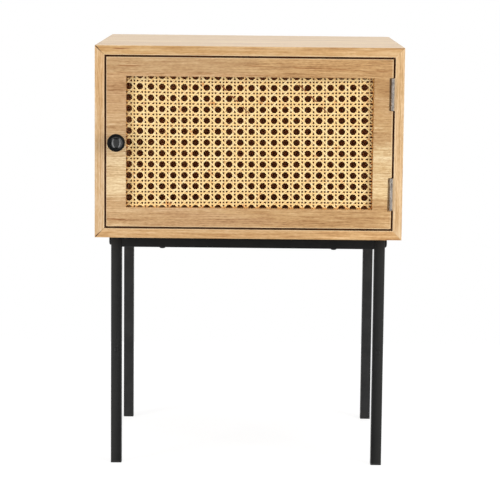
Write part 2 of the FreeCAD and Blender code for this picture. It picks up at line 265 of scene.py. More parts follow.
def seamColour(finish, look, colour, x, y, z):
    # a painted highlight on the eased edges beside the gap, partly paler sanded wood; painted shade in
    # the gap round the door and on the window's cut sides; painted bounce light on the faces towards
    # the inside; and the glue lines
    seam, gap = seamLook, edges[look["gap"]]
    behind = y - frontY
    miss = abs(pastOutline(x, z, gap))
    # painted highlight along the eased edges beside the gap, partly paler sanded wood
    sandedHighlight = (finish.rise(miss, *seam["sandedHighlightStart"]) * finish.fall(miss, *seam["sandedHighlightEnd"])
              * finish.fall(behind, *seam["sandedHighlightDepth"]))
    colour = finish.blend(sandedHighlight * look["sandedHighlight"], colour, look["sandedHighlightColour"])
    # painted shade in the gap round the door and on the edges beside it
    shade = finish.fall(abs(pastOutline(x - look["shadeShift"], z, gap)), *seam["gapReach"])
    shade = shade * finish.fall(behind, *seam["gapDepth"]) * look["shade"]
    for lower, upper in look.get("hinged", []):  # beside a hinge no gap is seen
        soft = seam["hingeSoft"]
        beside = finish.rise(z, lower - soft, lower) * finish.fall(z, upper, upper + soft)
        shade = shade * (1 - beside)
    colour = finish.blend(shade, colour, look["shadeColour"])
    if "inside" in look:  # painted bounce light: the face towards the inside, warmer and brighter than the outside
        soft = seam["innerSoft"]
        inner = finish.fall(y, look["inside"] - soft, look["inside"] + soft)
        colour = finish.stain(colour, inner, look["insideBounceLight"])
    if "cutShade" in look:  # the upright cut sides of the window lie in shade
        wall = finish.fall(abs(pastOutline(x, z, edges["window"])), *seam["wallReach"])
        wall = wall * finish.rise(behind, *seam["wallDepth"])
        wall = wall * finish.rise(z - edges["window"][0].z, *seam["wallFoot"])
        colour = finish.stain(colour, wall, look["cutShade"])
    if "mitres" in look:  # the dark glue line where two boards meet at 45 degrees
        low, high = edges["cabinet"]
        side = high.x - abs(x)
        level = (high.z - z).lower(z - low.z)
        narrower = finish.rise(side, *seam["mitreNarrows"]) * seam["mitreNarrower"]
        wide = seam["mitreWide"] - narrower
        near = finish.fall(abs(side - level), wide * seam["mitreCore"], wide)
        near = near * (1 - finish.rise(side, *seam["mitreFades"]) * seam["mitreFade"])
        near = near * finish.rise(side, *seam["mitreStart"])
        left, right = look["mitres"]
        share = left + (right - left) * finish.rise(x, *seam["mitreMiddle"])
        colour = finish.stain(colour, near * share, look["glue"])
    return colour, shade


def oakFinish(name, look):
    # clear-lacquered oak veneer; the grain runs along one axis of the object
    finish = Finish(name)
    place = finish.place()
    x, y, z = finish.split(place)
    cut = finish.vector("ADD", place, look["cut"])
    grain = "XYZ".index(look["grain"])

    def layer(source, along, across, detail, rough):  # noise drawn out along the grain
        scale = [across] * 3
        scale[grain] = along
        return finish.noise(finish.vector("MULTIPLY", source, scale), 1, detail, rough)

    drift = layer(cut, *veneerLook["drift"]).other("Color")
    drift = finish.vector("SUBTRACT", drift, (0.5, 0.5, 0.5))
    lean = [look["wander"]] * 3
    lean[grain] = 0.0
    wavy = finish.vector("ADD", cut, finish.vector("MULTIPLY", drift, lean))
    layers = {kind: layer(wavy if wanders else cut, *sizes)
              for kind, (*sizes, wanders) in veneerLook["layers"].items()}
    dashes = (finish.rise(layers["pores"], *veneerLook["poresFrom"])
              * finish.rise(layers["rings"], *veneerLook["poreRings"]))
    layers["dashes"] = dashes

    colour = veneerColour(finish, look, layers, x, z)
    colour, shade = seamColour(finish, look, colour, x, y, z)
    relief = layers["fibres"] * veneerLook["bumpFibres"]
    relief = relief + layers["lines"] * veneerLook["bumpLines"] - dashes * veneerLook["bumpPores"]
    normal = finish.bump(relief, look["relief"], veneerLook["bumpHeight"])
    rough = (look["rough"] + (layers["lines"] - 0.5) * veneerLook["roughLines"]
             + dashes * veneerLook["roughPores"] + shade * veneerLook["roughShade"])
    return finish.surface({"Base Color": colour, "Roughness": rough, "Normal": normal,
                           "Specular IOR Level": veneerLook["specular"],
                           "Coat Weight": (1 - shade) * look["coat"],
                           "Coat Roughness": veneerLook["coatRough"]})


def veneerStops(*tones):
    places = (0.12, 0.32, 0.5, 0.68, 0.88)
    return [(place, tone(*parts)) for place, parts in zip(places, tones)]


def patch(red, green, blue, **reach):
    # a stretch of the veneer, times a tint; for each axis where it starts, ends and how softly
    return (red, green, blue, 1), reach


def growthLine(x, z, slope, start, end, width=1.7 * mm, strength=1.0):
    return {"x": x, "z": z, "slope": slope, "start": start, "end": end, "width": width,
            "strength": strength}


oakLook = {
    "grain": "X", "cut": (0.0, 0.0, 0.0), "wander": 0.016,
    "stops": veneerStops((164, 116, 68), (196, 149, 97), (213, 170, 117), (226, 187, 138),
                         (238, 206, 162)),
    "broad": 0.75, "rings": 0.9, "lines": 1.1, "mottle": 0.38, "flecks": 0.55,
    "streaks": 0.4, "streakColour": tone(214, 180, 142), "lineColour": tone(206, 176, 146),
    "pores": 0.4, "poreColour": tone(186, 142, 100),
    "gap": "opening", "sandedHighlight": 0.6, "sandedHighlightColour": tone(244, 214, 168),
    "shade": 1.0, "shadeShift": 0.4 * mm, "shadeColour": tone(36, 8, 2),
    "glue": tone(84, 48, 28), "relief": 0.35, "rough": 0.46, "coat": 0.35,
}
hingeReaches = [[end.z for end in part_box(f"hinge_{level}_cabinet_leaf")]
                for level in ("upper", "lower")]
topEdge = (0.5, 0.6252, 0.0003)  # the front edge of the top board, without its upper face
cornerLine = growthLine(-0.19, 0.6221, 0.0, -0.196, -0.178, 1.4 * mm)
boardLooks = {  # each board has its own cut of veneer
    "top_board": {
        "cut": (0.31, 0.12, 0.4), "mitres": (1.0, 0.2), "coat": 0.5,
        "patches": [patch(0.88, 0.83, 0.72, X=(-0.24, -0.05, 0.06), Z=topEdge),
                    patch(0.95, 0.93, 0.88, Z=topEdge),
                    patch(0.93, 0.91, 0.87, X=(-0.1, 0.1, 0.03), Z=topEdge),
                    # painted light: a tint of the top face alone, for how the light falls on the top
                    patch(0.945, 1.008, 0.97, Z=(0.6257, 0.7, 0.0001))],
        "growthLines": [cornerLine, cornerLine]},  # laid twice, as it is darker
    "bottom_board": {
        "cut": (1.7, 0.6, 0.21), "mitres": (0.9, 0.05),
        "patches": [patch(0.91, 0.87, 0.82, X=(-0.1, 0.07, 0.04)),
                    patch(1.12, 1.14, 1.15, X=(0.1, 0.25, 0.03))]},
    "side_board_left": {
        "grain": "Z", "cut": (0.2, 1.4, 2.2), "mitres": (1.0, 0.15),
        "patches": [patch(0.95, 0.95, 0.95, Z=(0.47, 0.55, 0.02)),
                    patch(1.0, 1.03, 1.1, Z=(0.2, 0.7, 0.02)),
                    patch(0.94, 0.94, 0.95, Z=(0.33, 0.48, 0.02))]},
    "side_board_right": {
        "grain": "Z", "cut": (3.3, 0.7, 1.1), "mitres": (0.8, 0.05), "hinged": hingeReaches,
        "patches": [patch(1.04, 1.07, 1.13, Z=(0.33, 0.55, 0.03)),
                    patch(0.94, 0.93, 0.92, Z=(0.3, 0.372, 0.01))],
        "stops": veneerStops((184, 142, 92), (212, 170, 118), (228, 190, 142), (240, 206, 158),
                             (248, 220, 178))},
}
topRail, rightHalf = (0.587, 0.62, 0.003), (0.0, 0.25, 0.06)
doorLook = {
    "cut": (5.1, 2.2, 0.7), "gap": "door", "cutShade": (0.55, 0.44, 0.34, 1),
    "stops": veneerStops((150, 108, 66), (183, 139, 94), (200, 159, 113), (213, 175, 130),
                         (227, 193, 150)),
    "broad": 0.5, "rings": 0.6, "lines": 1.2, "flecks": 0.75, "streaks": 0.2,
    "patches": [patch(1.27, 1.47, 1.67, Z=(0.402, 0.484, 0.006)),
                patch(1.04, 1.08, 1.1, Z=(0.484, 0.53, 0.02)),
                patch(0.99, 1.0, 1.04, X=rightHalf, Z=(0.465, 0.505, 0.01)),
                patch(0.88, 0.85, 0.81, X=rightHalf, Z=(0.538, 0.578, 0.01)),
                patch(1.12, 1.15, 1.17, X=(0.19, 0.25, 0.02), Z=(0.35, 0.433, 0.006)),
                patch(1.08, 1.12, 1.13, X=(-0.25, -0.12, 0.04), Z=(0.35, 0.463, 0.01)),
                patch(0.94, 0.93, 0.93, X=(-0.25, -0.1, 0.06), Z=(0.545, 0.57, 0.01)),
                patch(0.98, 0.96, 0.86, X=rightHalf),
                patch(0.91, 0.92, 0.9, X=(-0.25, 0.02, 0.05), Z=topRail),
                patch(1.05, 1.06, 1.06, X=(0.08, 0.17, 0.03), Z=topRail),
                patch(1.03, 1.05, 1.11, X=(0.17, 0.25, 0.01), Z=(0.42, 0.446, 0.006))],
    "growthLines": [growthLine(0.0, 0.598, -0.032, 0.0, 0.2, strength=0.75),
                    growthLine(-0.2, 0.5968, 0.008, -0.21, -0.155),
                    growthLine(-0.2, 0.372, -0.04, -0.212, -0.16)],
}
beadGrains = {"bottom": "X", "right": "Z", "top": "X", "left": "Z"}
# the pale oak of the eased edges: a painted highlight, partly paler sanded wood
sandedHighlightLook = {
    "cut": (2.2, 0.1, 3.0), "streaks": 0.1,
    "stops": [(0.2, tone(206, 164, 114)), (0.4, tone(226, 188, 140)), (0.6, tone(238, 204, 156)),
              (0.8, tone(246, 218, 176))],
}
backLook = {
    "grain": "Z", "cut": (0.3, 4.4, 1.9), "rough": 0.62, "coat": 0.1,
    "inside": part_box("back_panel")[0].y + 1 * mm, "insideBounceLight": (1.35, 1.12, 1.05, 1),
    "stops": veneerStops((150, 104, 62), (178, 132, 86), (196, 152, 106), (208, 168, 122),
                         (220, 184, 140)),
}


def oak(name, look, **changes):
    return oakFinish("oak_" + name, {**oakLook, **look, **changes})


oakFinishes = {name: oak(name, look) for name, look in boardLooks.items()}
oakFinishes["door_panel"] = oak("door_panel", doorLook)
for side, grain in beadGrains.items():
    beadLook = {"grain": grain, "cut": (0.4, 7.1, 0.3), "gap": "door", "stops": doorLook["stops"]}
    oakFinishes["bead_" + side] = oak("bead_" + side, beadLook)
sandedHighlightBoard = oak("sanded_board_edge", sandedHighlightLook)
sandedHighlightDoor = oak("sanded_door_edge", sandedHighlightLook, gap="door")
backFinish = oak("back_panel", backLook)


caneGrid = {"X": 16.36 * mm, "Z": 16.16 * mm}  # the weave repeats at these steps
skinLook = {
    # noises: scale, detail and roughness
    "patchNoise": (160, 3, 0.6), "grainNoise": (900, 2, 0.6), "markNoise": (95, 4, 0.75),
    "tone": 0.16, "patch": 0.6, "grain": 0.24, "pale": 0.02,
    "stops": [(0.28, tone(252, 200, 132)), (0.42, tone(255, 217, 148)), (0.56, tone(255, 226, 164)),
              (0.75, tone(255, 237, 194))],
    # how far a side of the strand faces forward, from 1 in front to less than nothing behind
    "sideFrom": (0.03, 0.5), "backFrom": (0.05, 0.3), "backTwice": -2,
    "sideShade": 1.0, "sideShadeColour": tone(196, 84, 36),
    "underShade": 0.5, "underFrom": (0.1, 0.9), "underPatch": 0.8,
    "underShadeColour": tone(228, 160, 106), "pithColour": tone(240, 232, 214),
    "marks": 0.8, "markColour": tone(214, 160, 122), "marksFrom": (0.575, 0.69),
    "stainColour": tone(128, 72, 38), "stainReach": inMm(1.2, 2.2), "stainEnd": 3 * mm,
    "stainNoise": (260, 3, 0.7), "stainBreaks": (0.32, 0.5),
    # painted shadow and warm bounce where the frame shades the cane near the window's sides and foot:
    # how far in from the rim, and where left turns to right
    "rimShadowLeft": 0.6, "rimShadowRight": 0.8, "rimShadowColour": tone(214, 166, 100),
    "rimShadowReach": inMm(-2.6, -1.0), "rimTurns": (-0.17, 0.17),
    "rough": 0.48, "roughPatch": 0.2, "roughBack": 0.2, "bump": 0.25, "bumpHeight": 0.1 * mm,
    "specular": 0.3, "coat": 0.06, "coatRough": 0.3,
}


def caneFinish(name, look):
    # peeled rattan skin: long glossy streaks, a tone of its own in each strand, small brown marks
    finish = Finish(name)
    place = finish.place()
    x, y, z = finish.split(place)
    crown = finish.attribute("crown")
    spots = finish.noise(place, *look["patchNoise"])
    grain = finish.noise(place, *look["grainNoise"])
    value = (finish.attribute("strandTone") * look["tone"] + spots * look["patch"]
             + grain * look["grain"] + look["pale"])
    colour = finish.ramp(value, look["stops"])
    flat = crown.higher(crown * look["backTwice"])  # 0 on the two sides of a strand
    # painted shade on the two sides of each strand, darker and redder where they turn away
    aside = finish.fall(flat, *look["sideFrom"])
    colour = finish.stain(colour, aside * look["sideShade"], look["sideShadeColour"])
    back = finish.rise(crown * -1, *look["backFrom"])
    # painted shade where a strand dips under the strand it crosses, turned round on the back
    dip = finish.attribute("rise") * (back * 2 - 1) + (spots - 0.5) * look["underPatch"]
    under = finish.rise(dip, *look["underFrom"])
    colour = finish.stain(colour, under * look["underShade"], look["underShadeColour"])
    colour = finish.stain(colour, back, look["pithColour"])
    marks = finish.rise(finish.noise(place, *look["markNoise"]), *look["marksFrom"])
    colour = finish.stain(colour, marks * look["marks"], look["markColour"])
    for middle, lowest, highest in look.get("stains", []):  # where a slant was cut near a joint
        slope = caneGrid["X"] / caneGrid["Z"]
        near = finish.fall(abs(x + (z - highest) * slope - middle), *look["stainReach"])
        near = near * finish.rise(z, lowest - look["stainEnd"], lowest)
        near = near * finish.fall(z, highest, highest + look["stainEnd"])
        near = near * finish.rise(finish.noise(place, *look["stainNoise"]), *look["stainBreaks"])
        colour = finish.stain(colour, near, look["stainColour"])
    # painted shadow along the window's sides and foot, where the frame shades the cane
    low, high = edges["window"]
    pastRim = (abs(x - (low.x + high.x) / 2) - (high.x - low.x) / 2).higher(low.z - z)
    rightward = finish.rise(x, *look["rimTurns"])
    strength = look["rimShadowLeft"] + (look["rimShadowRight"] - look["rimShadowLeft"]) * rightward
    rim = finish.rise(pastRim, *look["rimShadowReach"]) * strength
    colour = finish.stain(colour, rim, look["rimShadowColour"])
    normal = finish.bump(grain, look["bump"], look["bumpHeight"])
    rough = look["rough"] + (spots - 0.5) * look["roughPatch"] + back * look["roughBack"]
    return finish.surface({"Base Color": colour, "Roughness": rough, "Normal": normal,
                           "Specular IOR Level": look["specular"], "Coat Weight": look["coat"],
                           "Coat Roughness": look["coatRough"]})


# slants with dark stretches: place across at the upper end, lowest and highest end
stains = [(-0.0425, 0.528, 0.57), (0.0733, 0.528, 0.57)]
caneMaterial = caneFinish("woven_cane", skinLook)
stainedCane = caneFinish("woven_cane_stained", {**skinLook, "stains": stains})


def metalFinish(name, look):
    # painted or plated metal: fine texture, faint unevenness, some places duller than others
    finish = Finish(name)
    place = finish.place()
    x, y, z = finish.split(place)
    cloud = finish.noise(place, look["cloudScale"], *look["cloudNoise"])
    fine = finish.noise(place, look["fineScale"], *look["fineNoise"])
    colour = finish.blend(finish.rise(cloud, *look["clouds"]), look["dark"], look["light"])
    if "rim" in look:  # a painted highlight line at one height, along the edge of the lip
        height, reach, pale = look["rim"]
        near = finish.fall(abs(z - height), reach * look["rimCore"], reach)
        colour = finish.blend(near, colour, pale)
    coat = look["coat"]
    if "face" in look:  # only the middle of the face is polished, the rounded edge stays satin
        across, up, reach = look["face"]
        away = ((x - across) ** 2 + (z - up) ** 2) ** 0.5
        coat = finish.fall(away, reach * look["faceCore"], reach) * coat
    if "outer" in look:  # paler towards the outer side of the table, where more light falls
        reach, pale = look["outer"]
        colour = finish.blend(finish.rise(abs(x), *reach), colour, pale)
    normal = finish.bump(fine, look["relief"], look["depth"])
    rough = (look["rough"] + (cloud - 0.5) * look["roughSpread"]
             + (fine - 0.5) * look["roughFine"])
    return finish.surface({"Base Color": colour, "Roughness": rough, "Metallic": look["metallic"],
                           "Normal": normal, "Specular IOR Level": look["specular"],
                           "Coat Weight": coat, "Coat Roughness": look["coatRough"],
                           "Coat IOR": look["coatIor"]})


metalBase = {"cloudScale": 30, "cloudNoise": (3, 0.6), "clouds": (0.3, 0.7), "fineScale": 900,
             "fineNoise": (2, 0.6), "relief": 0.3, "depth": 0.1 * mm, "rimCore": 0.3,
             "faceCore": 0.85,
             "rough": 0.42, "roughSpread": 0.1, "roughFine": 0.08, "metallic": 0.0,
             "specular": 0.5, "coat": 0.0, "coatRough": 0.25, "coatIor": 1.5}
coated = {"fineScale": 1400, "relief": 0.4, "specular": 0.4}
metalLooks = {
    "black_powder_coat": {**coated, "dark": grey(11), "light": grey(18),
        "outer": (inMm(187, 203), tone(44, 44, 43))},
    # a paler copy of the same powder coat: painted light for the back legs, which catch more light
    "black_powder_coat_back_legs": {**coated, "dark": grey(41), "light": grey(49)},
    # a darker copy of the same powder coat: painted shade for the rails under the cabinet
    "black_powder_coat_rails": {**coated, "dark": grey(19), "light": grey(25), "rough": 0.5,
        "specular": 0.25},
    # the feet carry a painted highlight line along the lip
    "black_moulded_plastic": {"dark": grey(20), "light": grey(26), "rough": 0.5,
        "fineScale": 2200, "rim": (*inMm(2.3, 0.8), tone(58, 58, 55))},
    "black_zinc_fastener": {"dark": grey(12), "light": grey(18), "specular": 0.3},
    "black_satin_knob": {"dark": tone(5, 6, 6), "light": tone(12, 13, 13), "rough": 0.35,
        "cloudScale": 120, "relief": 0.12, "specular": 0.25, "coat": 1.0, "coatRough": 0.08,
        "coatIor": 1.9, "face": inMm(-192.2, 485.5, 9.8)},
    "nickel_plated_steel": {"dark": tone(150, 142, 134), "light": tone(204, 196, 188),
        "metallic": 0.9, "cloudScale": 240, "roughSpread": 0.3, "relief": 0.4},
    "zinc_plated_steel": {"dark": tone(160, 164, 170), "light": tone(200, 204, 210),
        "rough": 0.34, "metallic": 0.9, "cloudScale": 180, "roughSpread": 0.25, "relief": 0.25},
    "catch_plastic": {"dark": tone(196, 178, 150), "light": tone(206, 188, 160), "rough": 0.5,
        "fineScale": 2600, "relief": 0.2},
    "ferrite_magnet": {"dark": tone(44, 43, 42), "light": tone(58, 56, 54), "rough": 0.6,
        "fineScale": 3000, "relief": 0.5},
}
(powderCoat, backLegCoatPaintedLight, railCoatPaintedShade, moulded, blackFastener, knobPaint, hingeSteel, zincSteel,
 catchPlastic, ferrite) = (metalFinish(name, {**metalBase, **look})
                           for name, look in metalLooks.items())
print("finishes made:", len(bpy.data.materials))


def linked(name, mesh, *materials):
    piece = bpy.data.objects.new(name, mesh)
    scene.collection.objects.link(piece)
    piece.data.materials.clear()
    for material in materials:
        piece.data.materials.append(material)
    return piece


def smoothData(name, mesh, sharpest=None):
    # a finished mesh, shaded smoothly up to an angle in degrees
    for face in mesh.faces:
        face.smooth = True
    data = bpy.data.meshes.new(name)
    mesh.to_mesh(data)
    mesh.free()
    if sharpest:
        data.set_sharp_from_angle(angle=math.radians(sharpest))
    return data


easeLook = {
    "widths": {"board": 0.45 * mm, "door": 0.35 * mm, "bead": 0.7 * mm, "back": 0.3 * mm,
               "steel": 0.15 * mm, "plastic": 0.4 * mm, "tube": 0.2 * mm, "foot": 1.1 * mm},
    "flattest": 0.6, "sharpest": 28, "shaded": 40,  # degrees
    "weld": 0.002 * mm, "onMitre": 0.01 * mm,
}


def easedPiece(node, material, width, edgeMaterial=None, keep=None, segments=2,
               crowned=False):
    # a CAD solid with its sharp edges taken off; keep says which edges stay as cut
    mesh = bmesh.new()
    mesh.from_mesh(nodes[node].data)
    bmesh.ops.remove_doubles(mesh, verts=mesh.verts, dist=easeLook["weld"])
    bmesh.ops.dissolve_limit(mesh, angle_limit=math.radians(easeLook["flattest"]),
                             verts=mesh.verts, edges=mesh.edges)
    least = math.radians(easeLook["sharpest"])
    sharp = [edge for edge in mesh.edges if len(edge.link_faces) == 2
             and edge.calc_face_angle(0) > least and not (keep and keep(edge))]
    settings = {"material": 1} if edgeMaterial else {}
    bmesh.ops.bevel(mesh, geom=sharp, offset=easeLook["widths"][width], offset_type="OFFSET",
                    segments=segments, profile=0.5, affect="EDGES", clamp_overlap=True, **settings)
    # flat faces stay flat to the eye; crowned ones look faintly rounded, as drawn tube does
    data = smoothData(node + "_eased", mesh, None if crowned else easeLook["shaded"])
    piece = linked(node + "_finished", data, *[m for m in (material, edgeMaterial) if m])
    if not crowned:
        smooth = piece.modifiers.new("flat faces", "WEIGHTED_NORMAL")
        smooth.keep_sharp = True
    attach(piece, nodes[node]["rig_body"])
    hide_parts(node)


def onMitre(edge):  # edges on the two 45 degree cuts of a board
    low, high = edges["cabinet"]

    def miss(point):
        return abs(high.x - abs(point.x) - min(high.z - point.z, point.z - low.z))
    return all(miss(vertex.co) < easeLook["onMitre"] for vertex in edge.verts)


for name in boardLooks:
    easedPiece(name, oakFinishes[name], "board", sandedHighlightBoard, onMitre)
easedPiece("door_panel", oakFinishes["door_panel"], "door", sandedHighlightDoor)
for side in beadGrains:
    easedPiece("bead_" + side, oakFinishes["bead_" + side], "bead")
easedPiece("back_panel", backFinish, "back")
print("boards and door eased")

legPlaces = ("front_left", "front_right", "back_left", "back_right")
for place in legPlaces:
    coat = powderCoat if place.startswith("front") else backLegCoatPaintedLight
    easedPiece("leg_" + place, coat, "tube", crowned=True)
for place in ("front", "back", "left", "right"):
    easedPiece("rail_" + place, railCoatPaintedShade, "tube", crowned=True)
for place in legPlaces:
    easedPiece("foot_" + place, moulded, "foot", segments=3)
for name in ("hinge_upper_cabinet_leaf", "hinge_upper_door_leaf", "hinge_lower_cabinet_leaf",
             "hinge_lower_door_leaf", "hinge_upper_pin", "hinge_lower_pin"):
    easedPiece(name, hingeSteel, "steel")
easedPiece("catch_body", catchPlastic, "plastic")
easedPiece("catch_magnet", ferrite, "steel")
easedPiece("catch_poles", zincSteel, "steel")
easedPiece("strike_plate", zincSteel, "steel")
nodes["rail_inserts"].data.materials.clear()
nodes["rail_inserts"].data.materials.append(moulded)
print("stand, hinges and catch eased")


def ringPoints(radius, height, angles):
    # a round of points in metres, from sizes in mm
    return [(radius * mm * math.cos(a), radius * mm * math.sin(a), height * mm) for a in angles]


def ringedData(name, rings, sharpest):
    # a closed form from rounds of points, from the foot up; a round of equal points is one point
    mesh = bmesh.new()
    loops = []
    for ring in rings:
        if len(set(ring)) == 1:
            loops.append([mesh.verts.new(ring[0])] * len(ring))
        else:
            loops.append([mesh.verts.new(point) for point in ring])
    for lower, upper in zip(loops, loops[1:]):
        for i in range(len(lower)):
            j = (i + 1) % len(lower)
            corners = [lower[i], lower[j], upper[j], upper[i]]
            kept = [v for k, v in enumerate(corners) if v not in corners[:k]]
            if len(kept) > 2:
                mesh.faces.new(kept)
    for loop in (loops[0][::-1], loops[-1]):
        if loop[0] is not loop[1]:
            mesh.faces.new(loop)
    bmesh.ops.recalc_face_normals(mesh, faces=mesh.faces)
    return smoothData(name, mesh, sharpest)


knobLook = {  # (radius, height above the door) in mm, from the foot to the groove round the dome
    "outline": [(0.0, 0.0), (6.0, 0.0), (6.3, 0.5), (6.0, 1.1), (5.2, 2.4), (4.9, 5.0), (5.3, 8.0),
                (6.8, 10.3), (9.6, 11.9), (11.9, 12.7), (12.7, 13.3), (13.0, 14.2), (13.0, 15.9),
                (12.7, 16.8), (12.0, 17.35), (11.1, 17.4), (10.55, 17.0), (10.35, 16.3),
                (9.6, 16.0), (8.95, 16.2)],
    "domeRadius": 8.8, "domeBase": 16.25, "domeRise": 3.75, "domeSteps": 10, "turns": 72,
    "sharpest": 50,
}


def domeOutline(radius, base, rise, steps):
    ball = (radius ** 2 + rise ** 2) / (2 * rise)
    spread = math.asin(radius / ball)
    turns = [spread * (1 - i / steps) for i in range(steps + 1)]
    return [(ball * math.sin(t) if i < steps else 0.0, base + rise - ball * (1 - math.cos(t)))
            for i, t in enumerate(turns)]


knobLow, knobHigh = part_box("door_knob")
knobPlace = Vector(((knobLow.x + knobHigh.x) / 2, knobHigh.y, (knobLow.z + knobHigh.z) / 2))
knobOutline = knobLook["outline"] + domeOutline(knobLook["domeRadius"], knobLook["domeBase"],
                                                knobLook["domeRise"], knobLook["domeSteps"])
knobAngles = [2 * math.pi * i / knobLook["turns"] for i in range(knobLook["turns"])]
knobMesh = ringedData("knob", [ringPoints(radius, height, knobAngles)
                               for radius, height in knobOutline], knobLook["sharpest"])
knobTurn = Vector((0, 0, 1)).rotation_difference(Vector((0, -1, 0))).to_matrix().to_4x4()
knobMesh.transform(Matrix.Translation(knobPlace) @ knobTurn)
knob = linked("knob_turned", knobMesh, knobPaint)
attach(knob, "door")
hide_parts("door_knob")
print("knob turned")


caneLook = {  # metres, on the same grid as the frame's flat strands
    "pairOffset": 2.36 * mm, "pairWidth": 2.26 * mm, "slantWidth": 2.36 * mm,
    "thickness": 0.4 * mm, "pairWave": 0.2 * mm, "pairReach": 0.3, "slantWave": 0.48 * mm,
    "slantSnap": 1.5, "step": 1.5 * mm, "profileSides": 10,
    "wobble": 0.7 * mm, "wobbleScale": 45.0, "wobbleDetail": 1.0, "wobbleDrift": (0.37, 0.0, 0.11),
    # the section of a strand: a crowned skin in front and a flatter back
    "crownPower": 0.6, "backDepth": 0.35, "sectionMiddle": 0.25, "sectionDepth": 0.72,
    "firstHoleX": 3.7 * mm, "firstHoleZ": 15.1 * mm, "windowMargin": 6.5 * mm, "inset": 1.2 * mm,
    "steps": range(-24, 48), "shortest": 6 * mm,
    # the last pair of uprights at the right is laid by hand: how far each is off, and its lean
    "lastGap": 8 * mm, "lastShifts": inMm(0.8, 2.3), "lastLean": 0.009,
    # how far the hand-laid sheet has crept off its grid: parts of 1, x, z, xx, xz, xxx and xxz
    "creepAcross": (-0.00055, 0.0029, -0.00845, 0.0323, -0.0342, 0.0, 0.0),
    "creepUp": (-0.00013, 0.0077, -0.01094, 0.0158, -0.0251, -0.0663, 0.5643),
}


class GeometryTree(NodeTree):  # a Geometry Nodes tree with named inputs
    def __init__(self, name, sizes):
        super().__init__(bpy.data.node_groups.new(name, "GeometryNodeTree"))
        interface = self.tree.interface
        for way in ("INPUT", "OUTPUT"):
            interface.new_socket("Geometry", in_out=way, socket_type="NodeSocketGeometry")
        kinds = {float: "Float", int: "Int", tuple: "Vector", bpy.types.Material: "Material",
                 bpy.types.Object: "Object"}
        self.sockets = {label: interface.new_socket(label, in_out="INPUT",
                                                    socket_type="NodeSocket" + kinds[type(value)])
                        for label, value in sizes.items()}
        self.start = self.tree.nodes.new("NodeGroupInput")
        self.sizes = sizes

    def given(self, label):
        return Wire(self, self.start.outputs[label])

    def stored(self, geometry, name, value, domain):  # keep a number as an attribute
        values = {"Geometry": geometry, "Name": name, "Value": value}
        return self.add("GeometryNodeStoreNamedAttribute", values, data_type="FLOAT", domain=domain)

    def finish(self, geometry, material):  # real faces in the right finish, as the export needs
        real = self.add("GeometryNodeRealizeInstances", {0: geometry})
        painted = self.add("GeometryNodeSetMaterial", {"Geometry": real, "Material": material})
        self.add("NodeGroupOutput", {0: painted})

    def run(self, seed, name):  # the tree on a seed object, as one plain mesh
        modifier = seed.modifiers.new(name, "NODES")
        modifier.node_group = self.tree
        for label, value in self.sizes.items():
            modifier[self.sockets[label].identifier] = value
        graph = bpy.context.evaluated_depsgraph_get()
        mesh = bpy.data.meshes.new_from_object(seed.evaluated_get(graph))
        bpy.data.objects.remove(seed)
        return mesh


def creep(x, z, parts):
    level, a, b, aa, ab, aaa, aab = parts
    return level + x * (a + x * (aa + x * aaa + z * aab) + z * ab) + z * b


def strandSection(tree):
    # the outline of a strand, with how far each side faces forward kept as "crown"
    values = {"Resolution": tree.given("Section sides"), "Radius": 1.0}
    circle = tree.add("GeometryNodeCurvePrimitiveCircle", values, mode="RADIUS")
    ringX, ringY = tree.split(tree.add("GeometryNodeInputPosition"))[:2]
    front = (ringX.higher(0.0) ** caneLook["crownPower"]
             - (ringX * -1).higher(0.0).lower(caneLook["backDepth"]))
    section = tree.stored(circle, "crown", front, "POINT")
    deep = (front - caneLook["sectionMiddle"]) * tree.given("Thickness") * caneLook["sectionDepth"]
    flat = tree.add("ShaderNodeCombineXYZ", {0: deep, 1: ringY * tree.given("Width") * 0.5})
    return tree.add("GeometryNodeSetPosition", {"Geometry": section, "Position": flat})


def strandTree(name, sizes, height):
    # lines become resampled curves, rise and fall with the weave, and take a crowned section
    tree = GeometryTree(name, sizes)
    curves = tree.add("GeometryNodeMeshToCurve", {0: tree.given("Geometry")})
    tones = tree.add("FunctionNodeRandomValue", {"Seed": tree.given("Seed")}, 1, data_type="FLOAT")
    curves = tree.stored(curves, "strandTone", tones, "CURVE")
    values = {"Curve": curves, "Length": tree.given("Step")}
    curves = tree.add("GeometryNodeResampleCurve", values, mode="LENGTH")
    position = tree.add("GeometryNodeInputPosition")
    fromCrossing = tree.vector("SUBTRACT", position, tree.given("Crossing"))
    phase = tree.vector("DOT_PRODUCT", fromCrossing, tree.given("Run")).other("Value")
    side = tree.add("GeometryNodeInputNamedAttribute", {"Name": "side"}, data_type="FLOAT")
    forward = height(tree, phase, side)
    values = {"Scale": caneLook["wobbleScale"], "Detail": caneLook["wobbleDetail"],
              "Vector": tree.vector("ADD", position, tree.given("Drift"))}
    wobble = tree.add("ShaderNodeTexNoise", values, "Color")
    wobble = tree.vector("SUBTRACT", wobble, (0.5, 0.5, 0.5))
    wobble = tree.vector("MULTIPLY", wobble, tree.given("Wobble"))
    x, y, z = tree.split(tree.vector("SUBTRACT", position, tree.given("Middle")))
    across, up = (creep(x, z, caneLook[way]) for way in ("creepAcross", "creepUp"))
    lay = tree.add("ShaderNodeCombineXYZ", {0: across, 1: forward * -1, 2: up})
    curves = tree.stored(curves, "rise", forward / tree.given("Wave"), "POINT")
    values = {"Geometry": curves, "Offset": tree.vector("ADD", lay, wobble)}
    curves = tree.add("GeometryNodeSetPosition", values)
    values = {"Curve": curves, "Normal": (0.0, -1.0, 0.0)}
    curves = tree.add("GeometryNodeSetCurveNormal", values, mode="FREE")
    values = {"Curve": curves, "Profile Curve": strandSection(tree), "Fill Caps": True}
    strands = tree.add("GeometryNodeCurveToMesh", values)
    strands = tree.add("GeometryNodeSetShadeSmooth", {"Geometry": strands})
    tree.finish(strands, tree.given("Finish"))
    return tree


